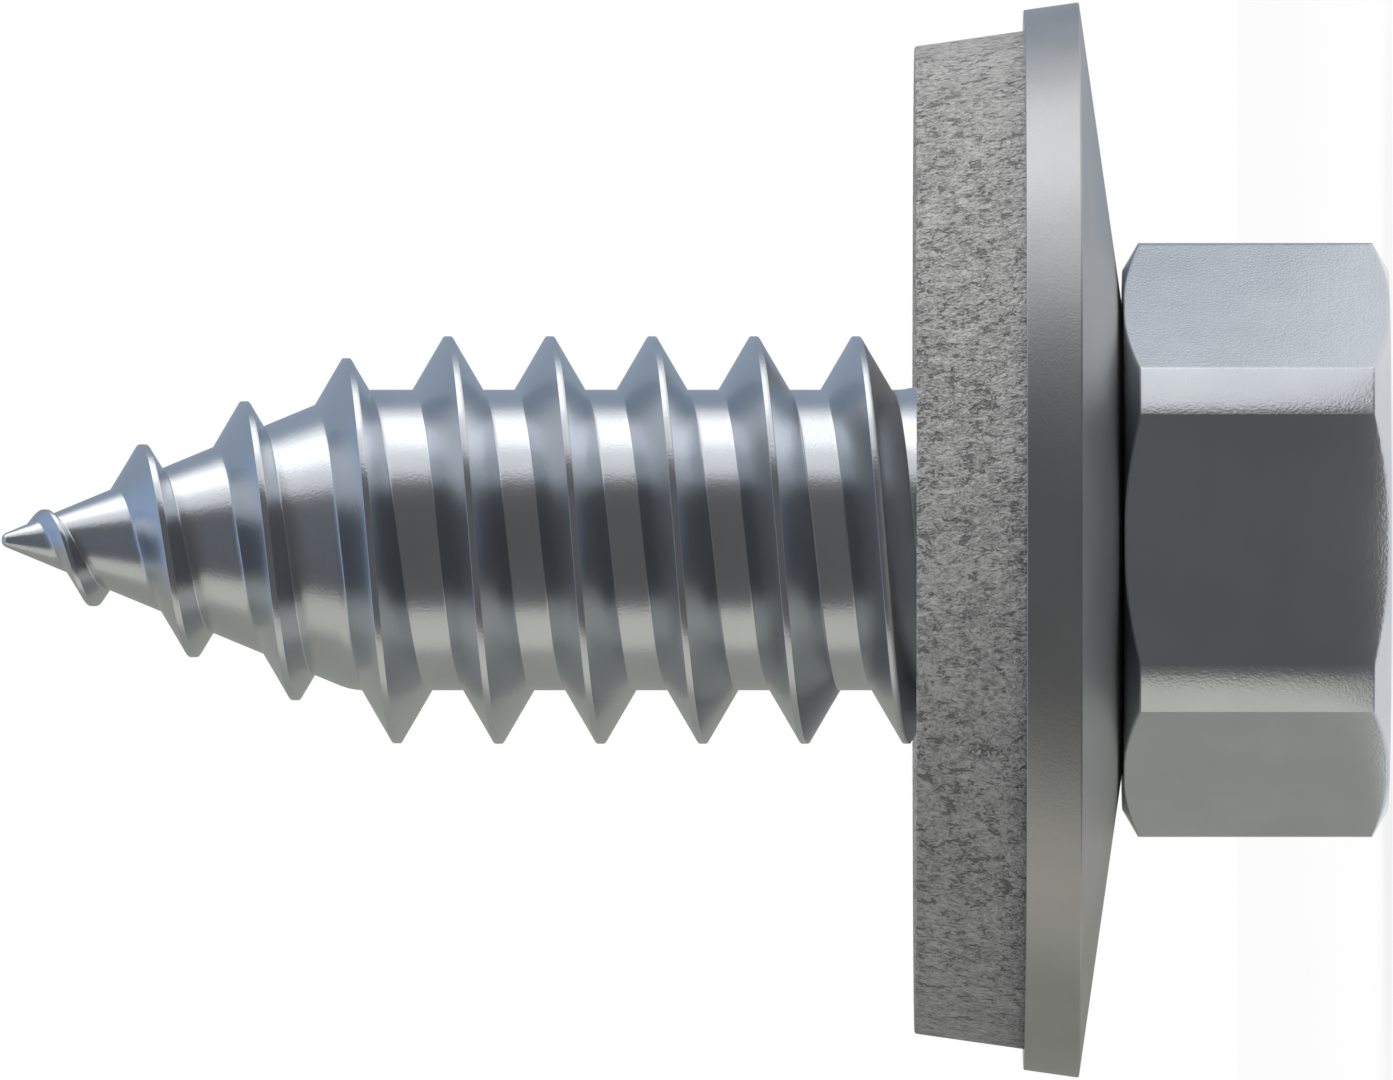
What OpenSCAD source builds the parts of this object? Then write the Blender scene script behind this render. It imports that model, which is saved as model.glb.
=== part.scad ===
// Repair screw with a coarse rolled thread, a hexagon head and a captive sealing washer.
// It stands on its head: the origin is the middle of the head's end face, and the point is up.

/* [Head] */
// Width of the hexagon across its flats
head_af = 9.525; // [7:0.005:13]
// Height of the head
head_h = 4.7; // [3:0.1:8]
// Diameter to which the hexagon's corners are turned off
head_corner_d = 10.5; // [9.6:0.05:11]
// Slope of the chamfers at both ends of the head
head_chamfer_a = 30; // [15:1:45]

/* [Shank] */
// Length from the underside of the head to the tip
shank_len = 19.8; // [16:0.1:60]
// Diameter of the plain neck on which the washer turns
neck_d = 6; // [5.6:0.05:6.8]
// Length of the neck and its taper, from the head down to the core
neck_len = 4.01; // [3.5:0.01:6]
// Slope of the taper between neck and core
neck_taper_a = 30; // [15:1:45]
// Diameter of the core between the turns of the thread
core_d = 5.31; // [4:0.01:5.5]
// Radius that blends the core into the neck's taper and into the point
blend_r = 1.2; // [0.4:0.1:2]

/* [Thread] */
// Outside diameter of the thread
thread_d = 7.2; // [6.5:0.05:9]
// Distance from one turn to the next
pitch = 1.803; // [1.4:0.001:3]
// Width of the flat along the crest
crest_w = 0.115; // [0.05:0.005:0.3]
// Slope of each flank, measured from square to the axis
flank_a = 30; // [20:1:35]
// Distance from the head's underside to the first crest of full depth
thread_from = 3.8; // [3.75:0.01:8]
// Turn over which the thread runs out towards the head
run_out = 0.35; // [0.1:0.05:0.5]

/* [Point] */
// Angle of the point, from side to side
point_a = 45; // [30:1:60]
// Radius of the rounded tip
tip_r = 0.14; // [0.05:0.01:0.4]
// Height of the thread above the point, where it starts
point_thread_h = 0.5; // [0.2:0.01:0.8]
// Slope of the line of crests along the point
crest_line_a = 22.9; // [15:0.1:30]
// Distance from the tip to the first trace of the thread
thread_start = 0.23; // [0.2:0.01:1]
// Length over which the thread rises to its height on the point
thread_rise = 1.86; // [0.5:0.01:3]

/* [Washer] */
// Outside diameter of the steel washer
washer_d = 19; // [14:0.5:25]
// Thickness of its sheet
washer_t = 0.99; // [0.6:0.01:1.5]
// Angle to which the washer is dished, rim towards the point
dish_a = 8.1; // [2:0.1:12]
// Diameter of the flat seat pressed under the head
seat_d = 8.2; // [7:0.1:9]
// Clearance all round between the neck and the washer's hole
washer_clear = 0.2; // [0.1:0.01:0.3]

/* [Seal] */
// Diameter of the seal where it is bonded to the washer
seal_d = 18; // [12:0.1:18.5]
// Thickness of the seal
seal_t = 2; // [1:0.1:2.2]
// Clearance all round between the neck and the seal's hole
seal_clear = 0.05; // [0.02:0.01:0.1]

/* [Hidden] */

$fn = 96;
// Flat pieces along one turn of the thread, and along each small arc
turn_steps = 48;
arc_steps = 8;
// Depth to which the thread's ridge is rooted below the core
root_depth = 0.08;
// Smallest radius at which the ridge passes the axis
axis_gap = 0.03;
// Share of the crest's width that is left where the ridge dies out
end_crest = 0.4;

neck_r = neck_d / 2;
core_r = core_d / 2;
thread_r = thread_d / 2;
tip_z = head_h + shank_len;
core_z = head_h + neck_len;
half_point = point_a / 2;

// Head
chamfer_r = head_af / 2;
corner_r = head_corner_d / 2;
chamfer_h = (corner_r - chamfer_r) * tan(head_chamfer_a);

// Neck taper: an arc out of the core, then a straight cone out to the neck
taper_arc_r = blend_r * (1 - cos(neck_taper_a));
taper_arc_z = core_z - blend_r * sin(neck_taper_a);
neck_z = taper_arc_z - (neck_r - core_r - taper_arc_r) / tan(neck_taper_a);

// Point: the tip's ball touches the cone, and an arc blends the cone into the core
tip_ball_z = tip_z - tip_r;
cone_apex_z = tip_ball_z + tip_r / sin(half_point);
cone_z = cone_apex_z - core_r / tan(half_point) - blend_r * tan(half_point / 2);

// Helix: turn 0 is the first full crest, on the -X side
helix_z = head_h + thread_from;
last_turn = (tip_z - thread_start - helix_z) / pitch;
turns = last_turn + run_out;
rings = ceil(turns * turn_steps);
foot_w = crest_w / 2 + (thread_r - core_r) * tan(flank_a);

// Washer and seal, measured along the dished sheet
seat_r = seat_d / 2;
washer_r = washer_d / 2;
washer_bore_r = neck_r + washer_clear;
washer_rim_z = head_h + (washer_r - seat_r) * tan(dish_a);
seal_bore_r = neck_r + seal_clear;
seal_r = seal_d / 2;

// Points of an arc about [cr, cz], from angle a to angle b
function arc(cr, cz, r, a, b) =
    [for (i = [0:arc_steps]) let (t = a + (b - a) * i / arc_steps) [cr + r * cos(t), cz + r * sin(t)]];

// Radius of the bare shank at height z
function shank_r(z) = lookup(z, [for (p = shank_outline) [p[1], p[0]]]);

// Share of full height that the ridge has at a turn, from its run-out and its start on the point
function rise(turn) =
    let (depth = last_turn * pitch - turn * pitch)
    min(1, max(0, turn + run_out) / run_out, max(0, depth) / thread_rise);

// Radius of the crest at a turn
function crest_r(turn) =
    let (z = helix_z + turn * pitch, tip_crest_r = tip_r + point_thread_h)
    let (line_r = min(thread_r, tip_crest_r + (tip_z - z) * tan(crest_line_a)))
    shank_r(z) + (line_r - shank_r(z)) * rise(turn);

// Four corners of the ridge at a turn: two feet inside the shank and the two edges of the crest
function ridge(turn) =
    let (
        z = helix_z + turn * pitch,
        top = crest_r(turn),
        foot = max(axis_gap, shank_r(z + foot_w) - root_depth),
        half_crest = crest_w / 2 * (end_crest + (1 - end_crest) * rise(turn)),
        half_foot = half_crest + (top - foot) * tan(flank_a)
    )
    [for (p = [[foot, -half_foot], [top, -half_crest], [top, half_crest], [foot, half_foot]])
        [p[0] * cos(180 + 360 * turn), p[0] * sin(180 + 360 * turn), z + p[1]]];

// Outline of the bare shank from the head to the tip, as [radius, height]
shank_outline = concat(
    [[neck_r, head_h], [neck_r, neck_z]],
    [for (p = arc(core_r + blend_r, core_z, blend_r, 180 + neck_taper_a, 180)) [p[0], p[1]]],
    arc(core_r - blend_r, cone_z, blend_r, 0, half_point),
    arc(0, tip_ball_z, tip_r, half_point, 90)
);

module head() {
    intersection() {
        cylinder(r = head_af / 2 / cos(30), h = head_h, $fn = 6);
        rotate_extrude()
            polygon([
                [0, 0],
                [chamfer_r, 0],
                [corner_r, chamfer_h],
                [corner_r, head_h - chamfer_h],
                [chamfer_r, head_h],
                [0, head_h]
            ]);
    }
}

module shank() {
    rotate_extrude()
        polygon(concat([[0, head_h / 2], [neck_r, head_h / 2]], shank_outline));
}

// The rolled thread: one ridge carried along the helix
module thread() {
    corners = len(ridge(0));
    points = [for (i = [0:rings]) each ridge(-run_out + turns * i / rings)];
    sides = [
        for (i = [0:rings - 1], k = [0:corners - 1])
            let (a = i * corners + k, b = i * corners + (k + 1) % corners)
            each [[a, b, b + corners], [a, b + corners, a + corners]]
    ];
    start_cap = [for (k = [corners - 1:-1:0]) k];
    end_cap = [for (k = [0:corners - 1]) rings * corners + k];
    polyhedron(points, concat(sides, [start_cap, end_cap]), convexity = 12);
}

module screw() {
    color("silver")
        union() {
            head();
            shank();
            thread();
        }
}

// A disc pressed to the dish: flat seat inside seat_r, conical outside it, edge square to the sheet.
// near and far are the depths of its two faces below the washer's head side.
module dished_ring(bore_r, edge_r, near, far) {
    kink = tan(dish_a / 2);
    edge_z = head_h + (edge_r - seat_r) * tan(dish_a);
    rotate_extrude()
        polygon([
            [bore_r, head_h + near],
            [seat_r - near * kink, head_h + near],
            [edge_r - near * sin(dish_a), edge_z + near * cos(dish_a)],
            [edge_r - far * sin(dish_a), edge_z + far * cos(dish_a)],
            [seat_r - far * kink, head_h + far],
            [bore_r, head_h + far]
        ]);
}

module steel_washer() {
    color("lightsteelblue")
        dished_ring(washer_bore_r, washer_r, 0, washer_t);
}

module rubber_seal() {
    color("dimgray")
        dished_ring(seal_bore_r, seal_r + washer_t * sin(dish_a), washer_t, washer_t + seal_t);
}

screw();
steel_washer();
rubber_seal();
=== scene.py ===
"""Looks of the repair screw: rolled steel screw, dished steel washer and its bonded rubber seal."""

import math

import bmesh
import bpy
import numpy as np
from bpy.props import FloatProperty, FloatVectorProperty, IntProperty, PointerProperty
from mathutils import Matrix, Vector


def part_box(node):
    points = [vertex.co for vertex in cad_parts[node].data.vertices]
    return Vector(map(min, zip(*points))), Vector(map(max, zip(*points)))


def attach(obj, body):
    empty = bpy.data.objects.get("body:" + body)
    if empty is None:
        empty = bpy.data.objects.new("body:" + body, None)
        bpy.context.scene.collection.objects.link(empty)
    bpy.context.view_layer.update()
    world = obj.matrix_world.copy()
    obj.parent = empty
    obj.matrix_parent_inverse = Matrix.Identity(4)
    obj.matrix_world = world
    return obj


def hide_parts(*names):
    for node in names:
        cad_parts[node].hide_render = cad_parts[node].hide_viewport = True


bl_info = {
    "name": "Repair Screw Looks",
    "version": (1, 0, 0),
    "blender": (4, 5, 0),
    "location": "View3D > Sidebar > Repair Screw",
    "description": "Rounded steel, rubber and a plain studio for the packed repair screw",
    "category": "Object",
}

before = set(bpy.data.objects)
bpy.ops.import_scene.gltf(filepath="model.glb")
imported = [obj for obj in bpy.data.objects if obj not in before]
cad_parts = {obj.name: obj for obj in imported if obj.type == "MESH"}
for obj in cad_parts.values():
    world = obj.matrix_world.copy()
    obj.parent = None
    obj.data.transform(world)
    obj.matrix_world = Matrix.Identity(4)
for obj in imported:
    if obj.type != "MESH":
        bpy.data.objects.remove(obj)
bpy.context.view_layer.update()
SCREW_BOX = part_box("screw")
WASHER_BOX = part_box("steel_washer")
MM = 0.001


# Properties


def length_property(name, description, default):
    """A length in metres."""
    return FloatProperty(
        name=name, description=description, default=default, min=0, precision=5, unit="LENGTH")


def angle_property(name, description, degrees):
    """An angle, whose default is given in degrees."""
    return FloatProperty(name=name, description=description, default=math.radians(degrees), subtype="ANGLE")


def colour_property(name, description, default):
    """A linear colour."""
    return FloatVectorProperty(
        name=name, description=description, default=default, subtype="COLOR", size=3, min=0, max=1)


class ScrewSizes(bpy.types.PropertyGroup):
    """Sizes of the screw."""

    head_af: length_property("Across flats", "Width of the hexagon head", 2 * SCREW_BOX[1].y)
    head_corner_d: length_property("Across corners", "Diameter of the turned-off corners", 2 * SCREW_BOX[1].x)
    head_h: length_property("Head height", "Height of the head", WASHER_BOX[0].z)
    head_chamfer_a: angle_property("Head chamfer", "Slope of the chamfers at both ends of the head", 30)
    head_round: length_property("Head rounding", "Radius of the head's edges", 0.035 * MM)
    tip_z: length_property("Length", "Height of the tip above the head's end face", SCREW_BOX[1].z)
    neck_d: length_property("Neck", "Diameter of the plain neck", 6 * MM)
    neck_len: length_property("Neck length", "Length of the neck and its taper", 4.01 * MM)
    neck_taper_a: angle_property("Neck taper", "Slope of the taper between neck and core", 30)
    neck_round: length_property("Neck rounding", "Radius of the neck's lower edge", 0.25 * MM)
    core_d: length_property("Core", "Diameter between the turns of the thread", 5.31 * MM)
    blend_r: length_property("Blend", "Radius that blends the core into taper and point", 1.2 * MM)
    point_a: angle_property("Point", "Angle of the point from side to side", 45)
    tip_r: length_property("Tip", "Radius of the rounded tip", 0.14 * MM)
    thread_d: length_property("Thread", "Outside diameter of the thread", 7.2 * MM)
    pitch: length_property("Pitch", "Distance from one turn to the next", 1.803 * MM)
    crest_w: length_property("Crest", "Width of the flat along the crest", 0.115 * MM)
    flank_a: angle_property("Flank", "Slope of each flank, from square to the axis", 30)
    thread_from: length_property("Thread start", "From the head to the first full crest", 3.8 * MM)
    run_out: FloatProperty(name="Run-out", description="Turn over which the thread runs out", default=0.35)
    point_thread_h: length_property("Point thread", "Height of the thread above the point's start", 0.5 * MM)
    crest_line_a: angle_property("Crest line", "Slope of the line of crests along the point", 22.9)
    thread_start: length_property("First trace", "Distance from the tip to the first trace", 0.23 * MM)
    thread_rise: length_property("Rise", "Length over which the thread rises on the point", 1.86 * MM)
    crest_round: length_property("Crest rounding", "Depth over which crest and flank blend", 0.012 * MM)
    root_round: length_property("Root rounding", "Depth over which flank and core blend", 0.03 * MM)
    turn_steps: IntProperty(
        name="Steps", description="Faces along one turn, a multiple of 24", default=144, min=24)


class WasherSizes(bpy.types.PropertyGroup):
    """Sizes of the steel washer and the seal bonded to it."""

    washer_d: length_property("Washer", "Outside diameter of the steel washer", 2 * WASHER_BOX[1].x)
    washer_t: length_property("Thickness", "Thickness of the washer's sheet", 0.99 * MM)
    dish_a: angle_property("Dish", "Angle to which the washer is dished", 8.1)
    seat_d: length_property("Seat", "Diameter of the flat seat under the head", 8.2 * MM)
    washer_bore_d: length_property("Washer bore", "Diameter of the washer's hole", 6.4 * MM)
    washer_round: length_property("Washer edges", "Radius of the washer's edges", 0.03 * MM)
    seal_d: length_property("Seal", "Outside diameter of the seal at the washer", 18 * MM)
    seal_t: length_property("Seal thickness", "Thickness of the seal", 2 * MM)
    seal_bore_d: length_property("Seal bore", "Diameter of the seal's hole", 6.1 * MM)
    seal_round: length_property("Seal edges", "Radius of the seal's edges", 0.05 * MM)
    kink_round: length_property("Bend", "Radius of the bend round the flat seat", 0.3 * MM)
    steps: IntProperty(name="Steps", description="Faces round the washer", default=256, min=24)


class Finishes(bpy.types.PropertyGroup):
    """Colours of the finishes."""

    steel: colour_property("Steel", "Bright rolled steel of the screw", (0.59, 0.62, 0.66))
    washer: colour_property("Washer", "Pressed steel of the washer", (0.45, 0.455, 0.46))
    rubber: colour_property("Rubber", "Weathered grey rubber of the seal", (0.30, 0.30, 0.295))


class StudioSettings(bpy.types.PropertyGroup):
    """Camera and light."""

    lens: FloatProperty(name="Lens", description="Focal length", default=1250, subtype="DISTANCE_CAMERA")
    view_width: length_property("View width", "Width seen at the screw's axis", 24.61 * MM)
    view_z: length_property("View height", "Height of the view's middle on the screw", 12.22 * MM)
    floor_r: length_property("Floor radius", "Radius of the floor", 0.24)
    floor: colour_property("Floor", "Pale floor", (0.9, 0.9, 0.9))
    key: FloatProperty(name="Key", description="Radiance of the key softbox", default=1.0)
    top: FloatProperty(name="Top", description="Radiance of the matt top lamp", default=4.9)
    overhead: FloatProperty(name="Overhead", description="Radiance of the lamp over the floor", default=2.7)
    ambient: FloatProperty(name="Ambient", description="Level of the light from all round", default=0.4)


class RepairScrewSettings(bpy.types.PropertyGroup):
    """All settings of the repair screw."""

    screw: PointerProperty(type=ScrewSizes)
    washer: PointerProperty(type=WasherSizes)
    finish: PointerProperty(type=Finishes)
    studio: PointerProperty(type=StudioSettings)


# Surfaces


def smooth_step(x):
    """Rises from 0 to 1 as x does, with level ends: 3x squared less 2x cubed."""
    x = np.clip(x, 0, 1)
    return x * x * (3 - 2 * x)


def smooth_min(a, b, width):
    """The smaller of a and b, lowered by a parabola where they differ by less than width."""
    near = np.clip(1 - np.abs(a - b) / width, 0, 1)
    return np.minimum(a, b) - near * near * width / 4


def smooth_max(a, b, width):
    """The larger of a and b, raised by a parabola where they differ by less than width."""
    return -smooth_min(-a, -b, width)


def arc(centre_r, centre_z, radius, start, end, steps=24):
    """Points of an arc as radius and height: the centre plus the arc's radius times cosine and sine."""
    angle = np.linspace(start, end, steps + 1)
    return np.column_stack([centre_r + radius * np.cos(angle), centre_z + radius * np.sin(angle)])


def shank_outline(s):
    """Outline of the bare shank as radius and height, from the head up to the tip.

    The neck's line, its rounded edge, the straight taper, the arc into the core, the arc into the
    point's cone, and the tip's ball that touches the cone.
    """
    neck_r, core_r, taper, half_point = s.neck_d / 2, s.core_d / 2, s.neck_taper_a, s.point_a / 2
    core_z = s.head_h + s.neck_len
    taper_r = s.blend_r * (1 - math.cos(taper))
    neck_z = core_z - s.blend_r * math.sin(taper) - (neck_r - core_r - taper_r) / math.tan(taper)
    ball_z = s.tip_z - s.tip_r
    apex_z = ball_z + s.tip_r / math.sin(half_point)
    cone_z = apex_z - core_r / math.tan(half_point) - s.blend_r * math.tan(half_point / 2)
    edge_z = neck_z - s.neck_round * math.tan(taper / 2)
    return np.concatenate([
        [[neck_r, s.head_h]],
        arc(neck_r - s.neck_round, edge_z, s.neck_round, 0, taper, 8),
        arc(core_r + s.blend_r, core_z, s.blend_r, math.pi + taper, math.pi),
        arc(core_r - s.blend_r, cone_z, s.blend_r, 0, half_point),
        arc(0, ball_z, s.tip_r, half_point, math.pi / 2, 48),
    ])


def shank_grid(s):
    """Grid of the shank with its thread: a ribbon one pitch wide, wound along the helix from head to tip.

    Ring i stands at turn t, at the angle 180 + 360 t degrees. Its columns are offsets a along the axis,
    from half a pitch below the crest to half a pitch above it, so each ribbon's upper edge is the next
    one's lower edge. The height is the helix's height plus a, held at the head and eased into the tip.
    The radius is the larger of the bare shank's and the ridge's, which is the smaller of the crest's
    radius and the line of the flank. Columns gather at the crest's edges and at the roots.
    """
    outline = shank_outline(s)
    helix_z = s.head_h + s.thread_from
    last_turn = (s.tip_z - s.thread_start - helix_z) / s.pitch
    ease = 0.4 * MM
    first = math.floor((s.head_h - helix_z) / s.pitch - 0.5)
    last = math.ceil((s.tip_z + ease - helix_z) / s.pitch + 0.5)
    turn = np.arange(first * s.turn_steps, last * s.turn_steps + 1)[:, None] / s.turn_steps

    def bare(z):
        return np.interp(z, outline[:, 1], outline[:, 0])

    centre = helix_z + s.pitch * turn
    at_head = (turn + s.run_out) / s.run_out
    at_point = (last_turn - turn) * s.pitch / s.thread_rise
    rise = np.clip(np.minimum(at_head, at_point), 0, 1)
    line = s.tip_r + s.point_thread_h + (s.tip_z - centre) * math.tan(s.crest_line_a)
    crest = bare(centre) + (np.minimum(line, s.thread_d / 2) - bare(centre)) * rise
    crest = crest - 0.2 * MM * (1 - smooth_step(rise / 0.06))
    half = s.crest_w / 2 * (0.4 + 0.6 * rise)
    slope = math.tan(s.flank_a)

    crest_gap = s.crest_round * slope
    root_gap = 1.2 * s.root_round * slope
    steps = np.array([-1, -0.35, 0.35, 1])

    def offsets(side):
        root = half + (crest - bare(centre)) * slope
        for _ in range(6):
            root = half + (crest - bare(centre + side * root)) * slope
        root = np.maximum(root, half + 1.6 * (crest_gap + root_gap))
        edge = half + crest_gap * steps
        foot = root + root_gap * steps
        flank = edge[:, -1:] + (foot[:, :1] - edge[:, -1:]) * np.array([0.25, 0.5, 0.75])
        land = foot[:, -1:] + (s.pitch / 2 - foot[:, -1:]) * np.linspace(0, 1, 8)[1:]
        near = np.concatenate([0 * edge[:, :1], edge, flank, foot, land], axis=1)
        even = np.linspace(0, s.pitch / 2, near.shape[1])[None, :]
        return even + (near - even) * smooth_step(rise / 0.15)

    below, above = offsets(-1), offsets(1)
    a = np.concatenate([-below[:, :0:-1], above], axis=1)
    z = np.maximum(centre + a, s.head_h)
    depth = s.tip_z - z
    depth = np.where(depth > ease, depth, np.maximum(depth + ease, 0) ** 2 / (4 * ease))
    z = s.tip_z - depth
    ridge = smooth_min(crest + 0 * a, crest + (half - np.abs(a)) / slope, s.crest_round)
    r = smooth_max(bare(z), ridge, s.root_round)
    r = np.where(depth > 0, r, 0)
    angle = math.pi * (1 + 2 * turn)
    return np.stack([r * np.cos(angle), r * np.sin(angle), z], axis=-1)


def head_columns(s):
    """Plan of the head for one turn, drawn in by the rounding: points and outward normals.

    Each of the six sectors starts at a corner: half the turned-off band, the edge's fan of normals, the
    flat, the next fan, and half the next band.
    """
    flat_r, band_r = s.head_af / 2 - s.head_round, s.head_corner_d / 2 - s.head_round
    flat_half = math.acos(flat_r / band_r)
    band_half = math.pi / 6 - flat_half
    steps = s.turn_steps // 6
    side = np.linspace(-1, 1, steps - 11)
    spread = np.concatenate([[-1, -0.97], side[1:-1], [0.97, 1]]) * math.tan(flat_half)
    band = band_half * np.array([0, 0.5, 1])
    fan = band_half + flat_half * np.array([1, 2]) / 3
    half_normals = np.concatenate([band, fan])
    flat_angle = math.pi / 6 + np.arctan(spread)
    angles = np.concatenate([band, band_half + 0 * fan, flat_angle])
    normals = np.concatenate([half_normals, math.pi / 6 + 0 * flat_angle])
    radii = np.concatenate([band_r + 0 * band, band_r + 0 * fan, flat_r * np.sqrt(1 + spread ** 2)])
    angles = np.concatenate([angles, math.pi / 3 - angles[4:0:-1]])
    radii = np.concatenate([radii, radii[4:0:-1]])
    normals = np.concatenate([normals, math.pi / 3 - half_normals[4:0:-1]])
    turns = math.pi + np.arange(6)[:, None] * math.pi / 3
    angles, normals = (turns + angles).ravel(), (turns + normals).ravel()
    plan = np.column_stack([np.cos(angles), np.sin(angles)]) * np.tile(radii, 6)[:, None]
    return plan, np.column_stack([np.cos(normals), np.sin(normals)])


def head_grid(s):
    """Grid of the head, from the middle of its end face round to the neck at its underside.

    Every edge is rounded: a point is one of the drawn-in solid, plus the rounding times a normal that
    turns from one face's to the next one's. The chamfer's height is (radius - half the width across
    flats) times the tangent of its slope, and nothing where that is below the end face.
    """
    plan, side = head_columns(s)
    reach = np.linalg.norm(plan, axis=1)[:, None]
    out = plan / reach
    chamfer, rounding = s.head_chamfer_a, s.head_round
    end_r = np.minimum(reach, s.head_af / 2 - rounding * (1 - math.cos(chamfer)) / math.sin(chamfer))
    lift = (reach - s.head_af / 2) * math.tan(chamfer) + rounding / math.cos(chamfer)
    lift = np.maximum(lift, rounding)

    def row(flat_plan, height, flat_normal=0, normal_z=0):
        flat = flat_plan + rounding * np.broadcast_to(flat_normal, flat_plan.shape)
        return np.concatenate([flat, height + rounding * normal_z + 0 * reach], axis=1)

    lower = [row(out * 0, 0), row(out * end_r * 0.6, 0), row(out * (end_r - 0.05 * MM), 0)]
    for share in (0, 0.33, 0.67, 1):
        tilt = chamfer * share
        lower.append(row(out * end_r, rounding, out * math.sin(tilt), -math.cos(tilt)))
    for share in (0.06, 0.5, 0.94):
        place = out * (end_r + (reach - end_r) * share)
        height = rounding + (lift - rounding) * share
        lower.append(row(place, height, out * math.sin(chamfer), -math.cos(chamfer)))
    for share in (0, 0.2, 0.4, 0.6, 0.8, 1):
        tilt = chamfer + (math.pi / 2 - chamfer) * share
        blend = out + (side - out) * share
        blend = blend / np.linalg.norm(blend, axis=1)[:, None]
        lower.append(row(plan, lift, blend * math.sin(tilt), -math.cos(tilt)))
    lower.append(row(plan, lift + 0.05 * MM, side))
    upper = [np.column_stack([p[:, :2], s.head_h - p[:, 2]]) for p in lower[:1:-1]]
    angle = math.pi + 2 * math.pi * np.arange(s.turn_steps) / s.turn_steps
    neck = np.column_stack([np.cos(angle), np.sin(angle)]) * s.neck_d / 2
    neck_rows = [
        np.column_stack([neck * 1.03, s.head_h + 0 * angle]),
        np.column_stack([neck, s.head_h + 0 * angle]),
    ]
    return np.stack(lower + upper + neck_rows)


def rounded_profile(corners, radii, steps=6):
    """A closed profile whose corners are arcs that touch both sides, with a point just beyond each end.

    An arc starts the radius times the tangent of half the turn before its corner, and its points are
    the start turned about the arc's centre.
    """
    corners = np.array(corners)
    made = []
    for i, (corner, radius) in enumerate(zip(corners, radii)):
        before = corner - corners[i - 1]
        after = corners[(i + 1) % len(corners)] - corner
        before, after = before / np.linalg.norm(before), after / np.linalg.norm(after)
        turn = math.atan2(before[0] * after[1] - before[1] * after[0], before @ after)
        reach = radius * math.tan(abs(turn) / 2)
        start = corner - before * reach
        centre = start + math.copysign(radius, turn) * np.array([-before[1], before[0]])
        angle = np.linspace(0, turn, steps + 1)[:, None]
        spoke = start - centre
        across = np.array([-spoke[1], spoke[0]])
        made.append(start - before * radius * 0.5)
        made.extend(centre + np.cos(angle) * spoke + np.sin(angle) * across)
        made.append(corner + after * (reach + radius * 0.5))
    return np.array(made)


def dished_profile(s, bore_r, edge_r, near, far, edge_round):
    """Section of a dished disc: flat inside the seat, conical outside it, its rim square to the sheet.

    near and far are the depths of its two faces below the washer's head side.
    """
    head_h, seat_r, dish = WASHER_BOX[0].z, s.seat_d / 2, s.dish_a
    kink, edge_z = math.tan(dish / 2), head_h + (edge_r - seat_r) * math.tan(dish)
    corners = [
        [bore_r, head_h + near],
        [seat_r - near * kink, head_h + near],
        [edge_r - near * math.sin(dish), edge_z + near * math.cos(dish)],
        [edge_r - far * math.sin(dish), edge_z + far * math.cos(dish)],
        [seat_r - far * kink, head_h + far],
        [bore_r, head_h + far],
    ]
    radii = [edge_round, s.kink_round, edge_round, edge_round, s.kink_round, edge_round]
    return rounded_profile(corners, radii)


def revolved(profile, steps):
    """Grid of a closed profile turned about the axis: rows follow the profile, columns the turn."""
    angle = 2 * math.pi * np.arange(steps) / steps
    r, z = profile[:, :1], profile[:, 1:]
    return np.stack([r * np.cos(angle), r * np.sin(angle), z + 0 * angle], axis=-1)


def grid_faces(rows, columns, wrap_rows, wrap_columns, start=0):
    """Four corners of every face of a grid, in an order that faces outwards where columns turn with the
    angle and rows climb the axis."""
    index = start + np.arange(rows * columns).reshape(rows, columns)
    if wrap_rows:
        index = np.concatenate([index, index[:1]])
    if wrap_columns:
        index = np.concatenate([index, index[:, :1]], axis=1)
    corners = [index[:-1, :-1], index[:-1, 1:], index[1:, 1:], index[1:, :-1]]
    return np.stack(corners, axis=-1).reshape(-1, 4)


def make_mesh(name, points, faces):
    """A smooth mesh of these points and four-sided faces. Points that meet are merged into one."""
    mesh = bpy.data.meshes.new(name)
    mesh.vertices.add(len(points))
    mesh.vertices.foreach_set("co", points.astype(np.float32).ravel())
    mesh.loops.add(faces.size)
    mesh.loops.foreach_set("vertex_index", faces.astype(np.int32).ravel())
    mesh.polygons.add(len(faces))
    mesh.polygons.foreach_set("loop_start", np.arange(0, faces.size, 4, dtype=np.int32))
    mesh.update(calc_edges=True)
    shape = bmesh.new()
    shape.from_mesh(mesh)
    bmesh.ops.remove_doubles(shape, verts=shape.verts, dist=1e-7)
    shape.to_mesh(mesh)
    shape.free()
    mesh.polygons.foreach_set("use_smooth", np.ones(len(mesh.polygons), dtype=bool))
    mesh.update()
    return mesh


def add_object(name, data):
    """An object with this data, linked to the scene."""
    made = bpy.data.objects.new(name, data)
    bpy.context.scene.collection.objects.link(made)
    return made


def add_piece(name, points, faces, material, body, node):
    """A piece of the screw that stands for a CAD node and rides on its body."""
    piece = add_object(name, make_mesh(name, points, faces))
    piece.data.materials.append(material)
    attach(piece, body)
    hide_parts(node)
    return piece


# Materials


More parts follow.
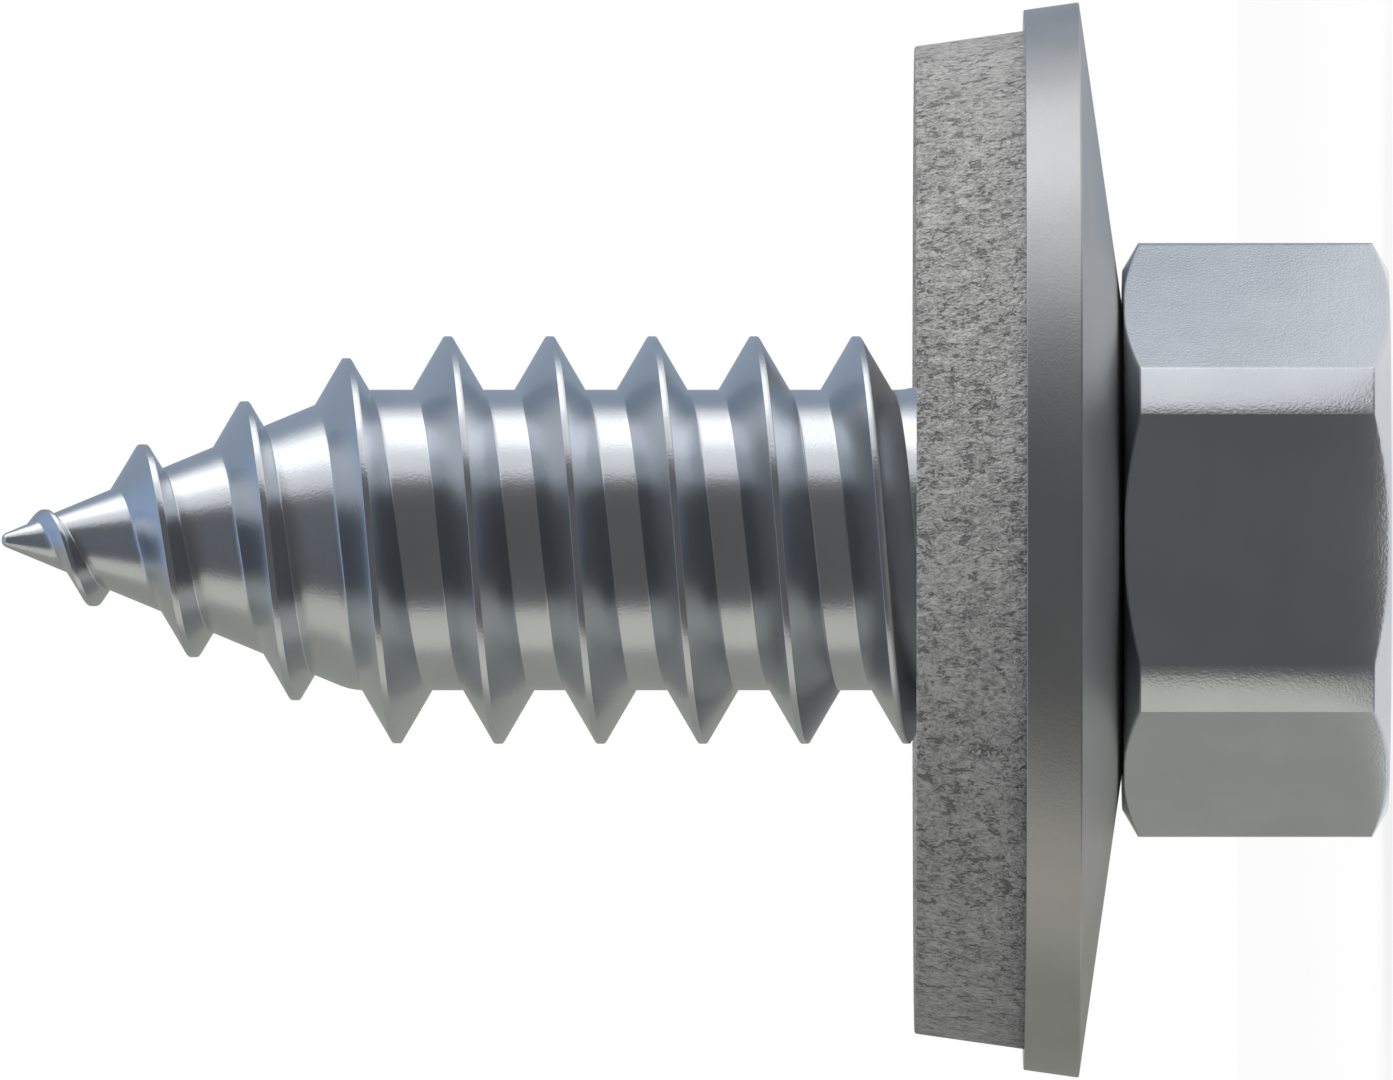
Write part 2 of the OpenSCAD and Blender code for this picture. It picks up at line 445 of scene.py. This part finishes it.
class Shade:
    """One output in a node tree. Arithmetic on it adds Math nodes."""

    def __init__(self, tree, socket):
        self.tree = tree
        self.socket = socket

    def add(self, kind, settings=None, values=None, output=0):
        """Adds a node: its settings first, then the values or links of its inputs. Returns one output."""
        node = self.tree.nodes.new(kind)
        for name, value in (settings or {}).items():
            setattr(node, name, value)
        for key, value in (values or {}).items():
            if isinstance(value, Shade):
                self.tree.links.new(value.socket, node.inputs[key])
            else:
                node.inputs[key].default_value = value
        return Shade(self.tree, node.outputs[output]) if node.outputs else None

    def math(self, operation, *values):
        """Adds a Math node on these values."""
        return self.add("ShaderNodeMath", {"operation": operation}, dict(enumerate(values)))

    def __add__(self, other):
        return self.math("ADD", self, other)

    def __radd__(self, other):
        return self.math("ADD", other, self)

    def __sub__(self, other):
        return self.math("SUBTRACT", self, other)

    def __rsub__(self, other):
        return self.math("SUBTRACT", other, self)

    def __mul__(self, other):
        return self.math("MULTIPLY", self, other)

    def __rmul__(self, other):
        return self.math("MULTIPLY", other, self)

    def step(self, low, high):
        """Rises smoothly from 0 to 1 between two values."""
        settings = {"interpolation_type": "SMOOTHSTEP"}
        return self.add("ShaderNodeMapRange", settings, {"Value": self, "From Min": low, "From Max": high})

    def noise(self, scale, detail=2.0, roughness=0.5, distortion=0.0):
        """Fractal noise at this vector, about 0.5 in the middle."""
        values = {"Vector": self, "Scale": scale, "Detail": detail}
        values.update({"Roughness": roughness, "Distortion": distortion})
        return self.add("ShaderNodeTexNoise", None, values)

    def mix(self, low, high):
        """Mixes two colours by this value."""
        return self.add("ShaderNodeMix", {"data_type": "RGBA"}, {0: self, 6: low, 7: high}, 2)

    def vector(self, operation, *values):
        """Adds a Vector Math node on these values."""
        return self.add("ShaderNodeVectorMath", {"operation": operation}, dict(enumerate(values)))

    def parts(self):
        """The three parts of this vector."""
        first = self.add("ShaderNodeSeparateXYZ", None, {0: self})
        return [Shade(self.tree, output) for output in first.socket.node.outputs]


def new_material(name):
    """A material with its principled shader, and Object coordinates."""
    material = bpy.data.materials.new(name)
    material.use_nodes = True
    shader = material.node_tree.nodes["Principled BSDF"]
    start = Shade(material.node_tree, None)
    place = start.add("ShaderNodeTexCoord", output=3)
    return material, shader, place


def surfaced(material, shader, base, rough, height):
    """Gives the shader its colour, its roughness and a bump as deep as the height says, in metres."""
    bump = height.add("ShaderNodeBump", None, {"Strength": 1.0, "Distance": 1.0, "Height": height})
    links = material.node_tree.links
    links.new(base.socket, shader.inputs["Base Color"])
    links.new(rough.socket, shader.inputs["Roughness"])
    links.new(bump.socket, shader.inputs["Normal"])
    return material


def rgba(colour, factor=1.0):
    """A colour with its alpha, made lighter or darker by a factor."""
    return (*(min(c * factor, 1.0) for c in colour), 1.0)


def steel_material(name, colour, roughness, grain_size, grain_depth, line_depth):
    """Bright steel with a fine matt grain and faint lines round the axis. roughness is that of the head
    and that of all above it."""
    material, shader, place = new_material(name)
    x, y, z = place.parts()
    square = x * x + y * y
    radius = square.math("SQRT", square)
    ring = place.add("ShaderNodeCombineXYZ", None, {0: radius, 1: z, 2: 0.0})
    grain = place.noise(1 / grain_size, 2.0, 0.6)
    lines = ring.noise(1 / (0.05 * MM), 2.0, 0.6)
    clouds = place.noise(1 / (1.5 * MM), 3.0, 0.5)
    base = clouds.step(0.3, 0.7).mix(rgba(colour, 0.96), rgba(colour, 1.03))
    height = grain * grain_depth + lines * line_depth
    head, shank = roughness
    above = z.step(WASHER_BOX[0].z - 0.1 * MM, WASHER_BOX[0].z)
    rough = above * (shank - head) + head + 0.05 * (grain - 0.5) + 0.04 * (clouds - 0.5)
    shader.inputs["Metallic"].default_value = 1.0
    return surfaced(material, shader, base, rough, height)


def rubber_material(name, colour):
    """Grey rubber whose cut face is felted, with pale fibres, small pits and paler clouds. Besides the
    rubber's own random mottle, its colour is painted darker in the gaps between the fibres and in the pits,
    as painted shade where the bump is low.
    """
    material, shader, place = new_material(name)
    along = place.vector("MULTIPLY", place, (1.0, 1.0, 0.6))
    fibres = along.noise(1 / (0.075 * MM), 2.0, 0.7, 1.2)
    crumbs = along.noise(1 / (0.20 * MM), 2.0, 0.6, 0.8)
    clouds = place.noise(1 / (0.9 * MM), 2.0, 0.5)
    pits = 1.0 - (crumbs * 0.6 + fibres * 0.4).step(0.34, 0.44)
    # The rubber's random mottle plus painted shade: it follows the fibres' and crumbs' heights, so the low
    # gaps come out darker.
    mottle_and_gap_shade = fibres * 0.62 + crumbs * 0.23 + clouds * 0.15
    # Painted shade: the pits, which the bump also digs in, are darkened in the colour.
    base = (mottle_and_gap_shade.step(0.38, 0.60) - 0.35 * pits).mix(rgba(colour, 0.56), rgba(colour, 1.18))
    height = fibres * 0.07 * MM + crumbs * 0.11 * MM - pits * 0.03 * MM
    rough = 0.72 + 0.2 * (fibres - 0.5)
    shader.inputs["Specular IOR Level"].default_value = 0.3
    return surfaced(material, shader, base, rough, height)


# Studio

# Curved cards round the screw, as in a product studio: from and to an angle about its axis, where 0 is
# the front and 90 is above, and a flat colour.
CARDS = (
    ("front_card", -54, 49, (0.13, 0.13, 0.13)),
    ("lower_card", -92, -54, (0.72, 0.70, 0.62)),
    ("rear_upper_card", 119, 176, (0.34, 0.41, 0.50)),
    ("rear_lower_card", -176, -92, (0.38, 0.38, 0.34)),
)
# Distance of the cards from the axis, their height, where their feet start, and their height off the floor
CARD_R = 0.2
CARD_TOP = 0.3
CARD_FOOT = 0.007
CARD_LIFT = 0.00001
# Colour of the round card beyond the point
END_COLOUR = (0.38, 0.50, 0.70)
# Kinds of ray that miss the cards, which show only in reflections
HIDDEN_FROM = ("camera", "diffuse", "shadow", "transmission")
# Height of the screw's middle
SCREW_MIDDLE = 0.012
# Gap below the head, so that its end face and the floor don't lie in one plane
FLOOR_DROP = 0.00002
# Share of the floor that looks white, which leaves the rest for the shadow
FLOOR_WHITE = 0.85


def card_material(name, colour):
    """A card that shows one flat colour whatever falls on it."""
    material = bpy.data.materials.new(name)
    material.use_nodes = True
    tree = material.node_tree
    tree.nodes.remove(tree.nodes["Principled BSDF"])
    shine = Shade(tree, None).add("ShaderNodeEmission", None, {"Color": (*colour, 1.0), "Strength": 1.0})
    tree.links.new(shine.socket, tree.nodes["Material Output"].inputs["Surface"])
    return material


def card_grid(start, end, steps=24):
    """Points of a curved card between two angles: its foot lies on the floor and its wall stands up.
    Rows run out along the foot and up the wall, and columns round the axis."""
    angle = np.radians(np.linspace(start, end, steps + 1))
    r = np.array([CARD_FOOT, CARD_R, CARD_R])[:, None]
    z = np.array([CARD_LIFT, CARD_LIFT, CARD_TOP])[:, None]
    return np.stack([r * np.sin(angle), -r * np.cos(angle), z + 0 * angle], axis=-1)


def seen_directly(start):
    """One for the camera's rays and for those that metal and glass send on, and nought for the rest."""
    rays = start.add("ShaderNodeLightPath")
    outputs = rays.socket.node.outputs
    names = ("Is Camera Ray", "Is Glossy Ray", "Is Transmission Ray")
    camera, glossy, through = (Shade(start.tree, outputs[n]) for n in names)
    return camera.math("MAXIMUM", camera, glossy.math("MAXIMUM", glossy, through))


def floor_material(colour):
    """Pale floor that looks white to the camera and in metal, and keeps part of the object's shadow."""
    material = bpy.data.materials.new("floor")
    material.use_nodes = True
    tree = material.node_tree
    shader = tree.nodes["Principled BSDF"]
    shader.inputs["Base Color"].default_value = rgba(colour)
    shader.inputs["Roughness"].default_value = 0.9
    start = Shade(tree, None)
    seen = seen_directly(start)
    white = start.add("ShaderNodeEmission", None, {"Color": (1, 1, 1, 1), "Strength": 1.0})
    matt = Shade(tree, shader.outputs[0])
    both = start.add("ShaderNodeMixShader", None, {0: seen * FLOOR_WHITE, 1: matt, 2: white})
    tree.links.new(both.socket, tree.nodes["Material Output"].inputs["Surface"])
    return material


def disc_grid(radius, rings=24, steps=96):
    """Points of a flat disc at height nought: rows from the middle out, columns round it."""
    r = np.linspace(0, radius, rings)[:, None]
    angle = 2 * math.pi * np.arange(steps) / steps
    return np.stack([r * np.cos(angle), r * np.sin(angle), 0 * r + 0 * angle], axis=-1)


def stage_grid(name, grid, material, hidden=(), closed=True):
    """A stage object from a grid, which closes round or not. hidden names the rays that miss it."""
    faces = grid_faces(*grid.shape[:2], False, closed)
    made = add_object(name, make_mesh(name, grid.reshape(-1, 3), faces))
    made.data.materials.append(material)
    for kind in hidden:
        setattr(made, "visible_" + kind, False)
    return made


def softbox(name, direction, distance, sizes, radiance, glossy=True, lift=0.0):
    """A rectangular lamp that looks at the screw's middle from a direction. Its radiance is its power
    over pi times its area, and lift raises it."""
    lamp = bpy.data.lights.new(name, "AREA")
    lamp.shape = "RECTANGLE"
    lamp.size, lamp.size_y = sizes
    lamp.energy = radiance * math.pi * sizes[0] * sizes[1]
    made = add_object(name, lamp)
    back = np.array(direction, dtype=float)
    back = back / np.linalg.norm(back)
    side = np.cross([0.0, 0.0, 1.0], back)
    side = side / np.linalg.norm(side)
    up = np.cross(back, side)
    place = back * distance + np.array([0, 0, SCREW_MIDDLE + lift])
    made.matrix_world = Matrix([[side[i], up[i], back[i], place[i]] for i in range(3)] + [[0, 0, 0, 1]])
    made.visible_glossy = glossy
    return made


# Operators


class REPAIRSCREW_OT_screw(bpy.types.Operator):
    """Builds the screw: head, neck, core, thread and point as one closed skin"""

    bl_idname = "repairscrew.screw"
    bl_label = "Build screw"

    def execute(self, context):
        settings = context.scene.repair_screw
        s = settings.screw
        head = head_grid(s)
        shank = shank_grid(s)
        rows, columns = head.shape[:2]
        faces = grid_faces(rows, columns, False, True)
        rings, across = shank.shape[:2]
        ribbon = grid_faces(rings, across, False, False, rows * columns)[:, ::-1]
        points = np.concatenate([head.reshape(-1, 3), shank.reshape(-1, 3)])
        colour = settings.finish.steel
        steel = steel_material("rolled_steel", colour, (0.18, 0.25), 0.05 * MM, 0.0025 * MM, 0.0003 * MM)
        faces = np.concatenate([faces, ribbon])
        add_piece("screw_skin", points, faces, steel, "screw", "screw")
        return {"FINISHED"}


class REPAIRSCREW_OT_washer(bpy.types.Operator):
    """Builds the dished steel washer"""

    bl_idname = "repairscrew.washer"
    bl_label = "Build washer"

    def execute(self, context):
        settings = context.scene.repair_screw
        s = settings.washer
        profile = dished_profile(s, s.washer_bore_d / 2, s.washer_d / 2, 0, s.washer_t, s.washer_round)
        grid = revolved(profile, s.steps)
        faces = grid_faces(*grid.shape[:2], True, True)
        colour = settings.finish.washer
        steel = steel_material("washer_steel", colour, (0.42, 0.42), 0.05 * MM, 0.0038 * MM, 0.0003 * MM)
        add_piece("washer_skin", grid.reshape(-1, 3), faces, steel, "washer", "steel_washer")
        return {"FINISHED"}


class REPAIRSCREW_OT_seal(bpy.types.Operator):
    """Builds the rubber seal bonded to the washer"""

    bl_idname = "repairscrew.seal"
    bl_label = "Build seal"

    def execute(self, context):
        settings = context.scene.repair_screw
        s = settings.washer
        edge_r = s.seal_d / 2 + s.washer_t * math.sin(s.dish_a)
        far = s.washer_t + s.seal_t
        profile = dished_profile(s, s.seal_bore_d / 2, edge_r, s.washer_t, far, s.seal_round)
        grid = revolved(profile, s.steps)
        faces = grid_faces(*grid.shape[:2], True, True)
        rubber = rubber_material("grey_rubber", settings.finish.rubber)
        add_piece("seal_skin", grid.reshape(-1, 3), faces, rubber, "washer", "rubber_seal")
        return {"FINISHED"}


class REPAIRSCREW_OT_stage(bpy.types.Operator):
    """Builds the floor, the cards, the softboxes and the camera"""

    bl_idname = "repairscrew.stage"
    bl_label = "Build stage"

    def execute(self, context):
        s = context.scene.repair_screw.studio
        scene = context.scene
        scene.view_settings.view_transform = "Standard"
        world = bpy.data.worlds.new("white")
        world.use_nodes = True
        level = seen_directly(Shade(world.node_tree, None)) * (1.0 - s.ambient) + s.ambient
        background = world.node_tree.nodes["Background"]
        background.inputs["Color"].default_value = (1, 1, 1, 1)
        world.node_tree.links.new(level.socket, background.inputs["Strength"])
        scene.world = world

        floor = disc_grid(s.floor_r) - np.array([0, 0, FLOOR_DROP])
        stage_grid("floor", floor, floor_material(s.floor))
        for name, start, end, colour in CARDS:
            card = card_material(name, colour)
            stage_grid(name, card_grid(start, end), card, HIDDEN_FROM, closed=False)
        end = disc_grid(CARD_R) + np.array([0, 0, CARD_TOP])
        stage_grid("end_card", end, card_material("end_card", END_COLOUR), HIDDEN_FROM)

        softbox("key", (1, 0.04, 0), 0.19, (0.11, 0.28), s.key, lift=0.13)
        softbox("top", (1, -0.3, 0.3), 0.2, (0.15, 0.15), s.top, glossy=False)
        softbox("overhead", (0, -0.01, 1), 1.0, (0.8, 0.8), s.overhead, glossy=False)

        lens = bpy.data.cameras.new("camera")
        lens.lens = s.lens
        lens.sensor_width = 36
        distance = s.view_width * s.lens / lens.sensor_width
        lens.clip_start, lens.clip_end = 0.1, 5
        camera = add_object("camera", lens)
        place = [[0, 1, 0, 0], [0, 0, -1, -distance], [-1, 0, 0, s.view_z], [0, 0, 0, 1]]
        camera.matrix_world = Matrix(place)
        scene.camera = camera
        return {"FINISHED"}


class REPAIRSCREW_PT_panel(bpy.types.Panel):
    """Sidebar panel that lists the builders and their settings"""

    bl_idname = "REPAIRSCREW_PT_panel"
    bl_label = "Repair Screw"
    bl_space_type = "VIEW_3D"
    bl_region_type = "UI"
    bl_category = "Repair Screw"

    def draw(self, context):
        layout = self.layout
        for builder in BUILDERS:
            layout.operator(builder.bl_idname)
        settings = context.scene.repair_screw
        for group in (settings.screw, settings.washer, settings.finish, settings.studio):
            box = layout.box()
            for name in group.bl_rna.properties.keys():
                if name not in ("rna_type", "name"):
                    box.prop(group, name)


GROUPS = (ScrewSizes, WasherSizes, Finishes, StudioSettings, RepairScrewSettings)
BUILDERS = (REPAIRSCREW_OT_screw, REPAIRSCREW_OT_washer, REPAIRSCREW_OT_seal, REPAIRSCREW_OT_stage)


def register():
    """Registers the classes and the scene's settings."""
    for made in GROUPS + BUILDERS + (REPAIRSCREW_PT_panel,):
        bpy.utils.register_class(made)
    bpy.types.Scene.repair_screw = PointerProperty(type=RepairScrewSettings)


def unregister():
    """Removes the scene's settings and the classes."""
    del bpy.types.Scene.repair_screw
    for made in reversed(GROUPS + BUILDERS + (REPAIRSCREW_PT_panel,)):
        bpy.utils.unregister_class(made)


def main():
    """Registers the classes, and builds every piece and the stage."""
    register()
    bpy.ops.repairscrew.screw()
    bpy.ops.repairscrew.washer()
    bpy.ops.repairscrew.seal()
    bpy.ops.repairscrew.stage()


if __name__ == "__main__":
    main()
